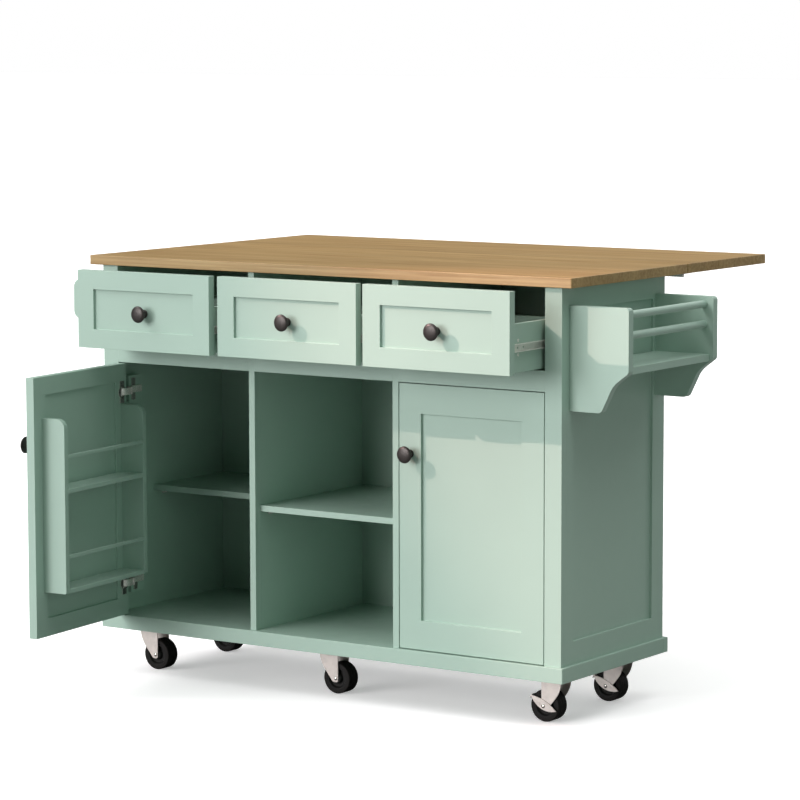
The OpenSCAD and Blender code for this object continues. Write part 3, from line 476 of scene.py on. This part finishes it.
def turned(profile, centre, axis, steps=64, ring=False):
    """Surface of revolution: each point (radius, height) of the profile runs round the axis.

    Point = centre + height * axis + radius * (cos t * across + sin t * around).
    """
    across, around = across_and_around(axis)
    turn = np.linspace(0, 2 * math.pi, steps, endpoint=False)[None, :, None]
    radius, height = (np.array(column)[:, None, None] for column in zip(*profile))
    points = np.array(centre) + height * np.array(axis, float) + radius * (
        np.cos(turn) * across + np.sin(turn) * around)
    if ring:
        return points.reshape(-1, 3), grid_faces(len(profile), steps, True)
    return capped(len(profile), steps, points)


def arc_profile(middle, radius, start, end, steps):
    """Points on an arc round middle, from start to end degrees."""
    return [
        (middle[0] + radius * math.cos(math.radians(a)), middle[1] + radius * math.sin(math.radians(a)))
        for a in np.linspace(start, end, steps)]


def knob_profile(rim, out):
    """Radius and height of a knob: flange, hollow neck, flare, rounded rim and a flat dome."""
    flange, neck = 0.50 * rim, 0.31 * rim
    flange_up, neck_up, rim_up, lip = 0.09 * out, 0.50 * out, 0.76 * out, 0.055 * out
    turn = np.radians(np.linspace(0, 90, 10))
    hollow = [
        (neck + (flange - lip - neck) * (1 - math.sin(a)),
         flange_up + (neck_up - flange_up) * (1 - math.cos(a)))
        for a in turn]
    flare = [
        (neck + (rim - lip - neck) * (1 - math.cos(a)) ** 0.8, neck_up + (rim_up - neck_up) * math.sin(a))
        for a in turn[1:]]
    edge = arc_profile((rim - lip, rim_up + lip), lip, -60, 60, 7)
    crown_up = rim_up + 2 * lip
    crown = [
        ((rim - lip) * math.cos(a), crown_up + (out - crown_up) * math.sin(a))
        for a in np.radians(np.linspace(6, 89, 14))]
    foot = [(flange, 0.0), (flange, 0.6 * flange_up), (flange - lip / 2, flange_up)]
    return foot + hollow + flare + edge + crown


def knob_place(node, axis):
    """Middle of a knob's foot, its largest radius and its reach along the axis, from the CAD node."""
    points = plain_surface(node)[0]
    along = points @ np.array(axis)
    foot = points[along < along.min() + 2 * SAME_POINT]
    middle = (foot.min(0) + foot.max(0)) / 2
    return middle, np.ptp(points[:, 2]) / 2, np.ptp(along)


DOOR_OPEN = math.radians(84.6)
FORWARD = (0, -1, 0)
KNOB_WAYS = {
    "drawer_knob_1": FORWARD, "drawer_knob_2": FORWARD, "drawer_knob_3": FORWARD, "door_knob_right": FORWARD,
    "door_knob_left": (-math.sin(DOOR_OPEN), -math.cos(DOOR_OPEN), 0)}

for node, way in KNOB_WAYS.items():
    middle, rim, out = knob_place(node, way)
    knob = add_piece(
        node + "_turned", turned(knob_profile(rim, out), middle, way), [pewter],
        frame["nodes"][node]["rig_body"])
    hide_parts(node)

# ---- Concealed door hinges ----
# A cup pressed in the door with a screwed flange, an arm and a cross plate
# on the wall; nickel-plated steel. The tall plates take a darker copy of the nickel as painted shade of the
# bay, while every face lower than ARM_H, such as the arm's, and the rounded edges keep the bright nickel.

ARM_H = 16 * MM
CUP_EASE = 0.3 * MM
nickel_painted_shade = tinted("nickel_painted_shade", (0.30, 0.29, 0.28), 0.30, {"Metallic": 1.0})

for node in ("hinge_plates", "cup_hinges_left", "cup_hinges_right"):
    # Faces taller than ARM_H take the darker nickel, which is painted shade; lower faces take the bright
    # nickel.
    hinge = eased(node, CUP_EASE, nickel_painted_shade, nickel)
    for face in hinge.data.polygons:
        heights = [hinge.data.vertices[corner].co.z for corner in face.vertices]
        face.material_index = int(max(heights) - min(heights) < ARM_H)

# ---- Door rack, bottle rack and towel bar ----
# Painted boards with rounded tops, shelves and guard rails on the door;
# shaped brackets with a shelf and two rods on the right, and with a round
# bar on the left.

for node in ("door_rack_sides", "door_rack_shelves", "bottle_brackets", "bottle_shelf",
             "bottle_rods", "towel_brackets", "towel_bar"):
    painted(node)

# ---- Castor plates and forks ----
# Pressed steel, zinc plated: a screwed top plate with its ball race, and a
# fork with two cheeks and a riveted axle.

castor_steel = tinted("castor_steel", (0.62, 0.57, 0.53), 0.40, {"Metallic": 0.8})
polished = tinted("polished_steel", (0.80, 0.77, 0.72), 0.14, {"Metallic": 1.0}, relief=0.005 * MM)
RIVET_H = 1.5 * MM
RIVET_R = 4.3 * MM
RIVET_SUNK = 0.1 * MM
PLATE_EASE = 0.5 * MM
FORK_EASE = 0.4 * MM
PLACES = ("front_left", "front_middle", "front_right", "back_left", "back_right")


def dome(centre, axis, radius, rise):
    """Cap of a ball: its base has the radius and its middle stands out by rise."""
    ball = (radius ** 2 + rise ** 2) / (2 * rise)
    edge = math.degrees(math.asin(radius / ball))
    cap = [
        (ball * math.sin(math.radians(a)), ball * math.cos(math.radians(a)) - ball + rise)
        for a in np.linspace(edge, 1, 9)]
    return turned([(radius, -0.1 * rise)] + cap, centre, axis, 40)


def fork_surface(place):
    """The fork with the flat heads of its axle pressed thin, and the domes that replace them."""
    points, faces = plain_surface("fork_" + place)
    front, back = points[:, 1].min(), points[:, 1].max()
    wheel_low, wheel_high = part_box("wheel_" + place)
    middle = (wheel_low + wheel_high) / 2
    front_foot, back_foot = front + RIVET_H - RIVET_SUNK, back - RIVET_H + RIVET_SUNK
    points[points[:, 1] < front + 2 * SAME_POINT, 1] = front_foot
    points[points[:, 1] > back - 2 * SAME_POINT, 1] = back_foot
    domes = joined([
        dome((middle.x, front_foot, middle.z), (0, -1, 0), RIVET_R, RIVET_H),
        dome((middle.x, back_foot, middle.z), (0, 1, 0), RIVET_R, RIVET_H)])
    return (points, faces), domes


eased("castor_plates", PLATE_EASE, castor_steel, castor_steel)
for place in PLACES:
    shape, domes = fork_surface(place)
    eased("fork_" + place, FORK_EASE, castor_steel, castor_steel, surface=shape)
    add_piece("axle_heads_" + place, domes, [polished], "fork_" + place)

# ---- Wheels ----
# A rubber tyre with grooves round its tread, on a moulded core whose web is
# sunk between hub and rim.

rubber = tinted("rubber", (0.012, 0.011, 0.010), 0.58, {"Specular IOR Level": 0.16}, relief=0.03 * MM)
core_black = tinted(
    "core_black", (0.010, 0.010, 0.009), 0.42, {"Specular IOR Level": 0.2}, relief=0.02 * MM)
TYRE_T = 9 * MM
BORE_R = 3.05 * MM
HUB_R = 11 * MM
HUB_OUT = 1.1 * MM
WEB_IN = 6 * MM
RIM_STEP = 1 * MM
SHOULDER_R = 2.5 * MM
GROOVES = (-8 * MM, 0.0, 8 * MM)
GROOVE_W = 1.2 * MM
GROOVE_DEEP = 0.9 * MM


def tyre_profile(radius, half):
    """Closed profile of a tyre: inner face, two rounded shoulders and a grooved tread."""
    inner = radius - TYRE_T
    r = SHOULDER_R
    low = arc_profile((radius - r, r - half), r, -90, 0, 6)
    high = arc_profile((radius - r, half - r), r, 0, 90, 6)
    tread = []
    for middle in GROOVES:
        tread += [
            (radius, middle - GROOVE_W / 2), (radius - GROOVE_DEEP, middle - GROOVE_W / 4),
            (radius - GROOVE_DEEP, middle + GROOVE_W / 4), (radius, middle + GROOVE_W / 2)]
    return [(inner, -half)] + low + tread + high + [(inner, half)]


def core_profile(radius, half, hub_half):
    """Closed profile of the wheel's core: bore, hub, sunk web and rim."""
    rim = radius - TYRE_T
    web, lip = half - WEB_IN, half - RIM_STEP
    side = [
        (BORE_R, hub_half), (HUB_R - RIM_STEP, hub_half), (HUB_R, hub_half - RIM_STEP),
        (HUB_R + 2 * RIM_STEP, web), (rim - WEB_IN, web), (rim - 3 * RIM_STEP, lip), (rim, lip)]
    return [(r, -h) for r, h in side] + [(r, h) for r, h in reversed(side)]


for place in PLACES:
    node = "wheel_" + place
    low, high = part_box(node)
    middle = tuple((low + high) / 2)
    radius = (high.z - low.z) / 2
    hub_half = (high.y - low.y) / 2
    half = hub_half - HUB_OUT
    tyre = add_piece(
        "tyre_" + place, turned(tyre_profile(radius, half), middle, (0, 1, 0), 96, True), [rubber],
        node)
    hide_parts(node)
    add_piece(
        "wheel_core_" + place, turned(core_profile(radius, half, hub_half), middle, (0, 1, 0), 64, True),
        [core_black], node)

# ---- Brake levers ----
# A stamped plate on the axle of each right-hand castor, with a pedal bent
# over the tyre.

LEVER_EASE = 0.3 * MM

for place in ("front_right", "back_right"):
    eased("brake_" + place, LEVER_EASE, castor_steel, castor_steel)

# ---- Floor, light and camera ----
# A pale seamless floor that throws little light back, soft studio lamps most
# of which stand at the front left, and a warm spot on the right half. The
# camera stands at the photograph's angle.

FLOOR_HALF = 60
FLOOR_SEEN = 0.88
FLOOR_BOUNCE = 0.25
FLOOR_GLOW = 0.38


def studio_floor():
    """One flat square round the origin; it looks paler to the camera than it shines back."""
    corners = [(-1, -1), (1, -1), (1, 1), (-1, 1)]
    mesh = bpy.data.meshes.new("studio_floor")
    mesh.from_pydata([(FLOOR_HALF * x, FLOOR_HALF * y, 0) for x, y in corners], [], [[0, 1, 2, 3]])
    material = bpy.data.materials.new("studio_floor")
    material.use_nodes = True
    tree = material.node_tree
    shader = tree.nodes["Principled BSDF"]
    shader.inputs["Roughness"].default_value = 1
    shader.inputs["Specular IOR Level"].default_value = 0
    shader.inputs["Emission Color"].default_value = (1, 1, 1, 1)
    seen = shader_node(tree, "LightPath").outputs["Is Camera Ray"]
    tree.links.new(spread(tree, seen, 0, 1, FLOOR_BOUNCE, FLOOR_SEEN), shader.inputs["Base Color"])
    tree.links.new(spread(tree, seen, 0, 1, 0, FLOOR_GLOW), shader.inputs["Emission Strength"])
    mesh.materials.append(material)
    floor = bpy.data.objects.new("studio_floor", mesh)
    bpy.context.scene.collection.objects.link(floor)


studio_floor()

ZENITH_GLOW = 1.3


def studio_sky():
    """World light: white to the camera, and for the object a soft glow round the zenith."""
    world = bpy.data.worlds.new("studio")
    world.use_nodes = True
    tree = world.node_tree
    way = shader_node(tree, "TexCoord").outputs["Generated"]
    up = shader_node(tree, "SeparateXYZ", {0: way}).outputs[2]
    seen = shader_node(tree, "LightPath").outputs["Is Camera Ray"]
    glow = spread(tree, up, 0.6, 0.95, 0, ZENITH_GLOW)
    strength = shader_node(tree, "Mix", {0: seen, 2: glow, 3: 1.0}, data_type="FLOAT").outputs[0]
    background = tree.nodes["Background"]
    background.inputs["Color"].default_value = (1, 1, 1, 1)
    tree.links.new(strength, background.inputs["Strength"])
    return world


bpy.context.scene.world = studio_sky()


def add_lamp(name, kind, place, target, **settings):
    """A lamp at a place, turned towards a target."""
    data = bpy.data.lights.new(name, kind)
    for label, value in settings.items():
        setattr(data, label, value)
    made = bpy.data.objects.new(name, data)
    made.location = place
    made.rotation_euler = (Vector(target) - Vector(place)).to_track_quat("-Z", "Y").to_euler()
    bpy.context.scene.collection.objects.link(made)


# Name, degrees round from the front towards +X, degrees up, softness in degrees, strength, colour
SOFT_LAMPS = (
    ("front_box", -20, 15, 35, 1.98, (1.0, 0.95, 0.96)),
    ("low_window", -30, 4, 30, 0.80, (0.93, 0.97, 1.0)),
    ("high_window", -60, 42, 35, 1.52, (1.0, 0.97, 0.98)),
    ("overhead_box", 60, 68, 35, 0.50, (1.0, 1.0, 1.0)),
    ("right_fill", 62, 12, 40, 0.40, (0.70, 1.0, 0.84)),
    ("back_fill", 170, 35, 60, 0.90, (1.0, 1.0, 1.0)))

for name, round_by, up_by, softness, strength, colour in SOFT_LAMPS:
    way_round, way_up = math.radians(round_by), math.radians(up_by)
    level = math.cos(way_up)
    place = (math.sin(way_round) * level, -math.cos(way_round) * level, math.sin(way_up))
    add_lamp(name, "SUN", place, (0, 0, 0), energy=strength, color=colour, angle=math.radians(softness))

KEY_WAY = Vector((1.8, 1.0, -1.25)).normalized()
KEY_TARGET = Vector((1.12, -0.33, 0.37))
KEY_AWAY = 7.0
KEY_POWER = 1620
KEY_COLOUR = (1.0, 0.62, 0.60)
KEY_CONE = math.radians(13.0)
add_lamp(
    "warm_key", "SPOT", KEY_TARGET - KEY_AWAY * KEY_WAY, KEY_TARGET, energy=KEY_POWER, color=KEY_COLOUR,
    spot_size=KEY_CONE, spot_blend=0.6, shadow_soft_size=0.025)

CAMERA_AT = (4.089809, -5.985379, 1.453327)
CAMERA_YAW = math.radians(34.167)
CAMERA_PITCH = math.radians(6.522)
CAMERA_ROLL = math.radians(-0.128)
LENS = 151.37
SENSOR_W = 36
camera = bpy.data.objects.new("camera", bpy.data.cameras.new("camera"))
camera.data.lens = LENS
camera.data.sensor_width = SENSOR_W
aim = Vector((-math.sin(CAMERA_YAW) * math.cos(CAMERA_PITCH),
              math.cos(CAMERA_YAW) * math.cos(CAMERA_PITCH), -math.sin(CAMERA_PITCH)))
camera.matrix_world = (
    Matrix.Translation(CAMERA_AT) @ aim.to_track_quat("-Z", "Y").to_matrix().to_4x4()
    @ Matrix.Rotation(CAMERA_ROLL, 4, "Z"))
bpy.context.scene.collection.objects.link(camera)
bpy.context.scene.camera = camera
bpy.context.scene.view_settings.view_transform = "Standard"
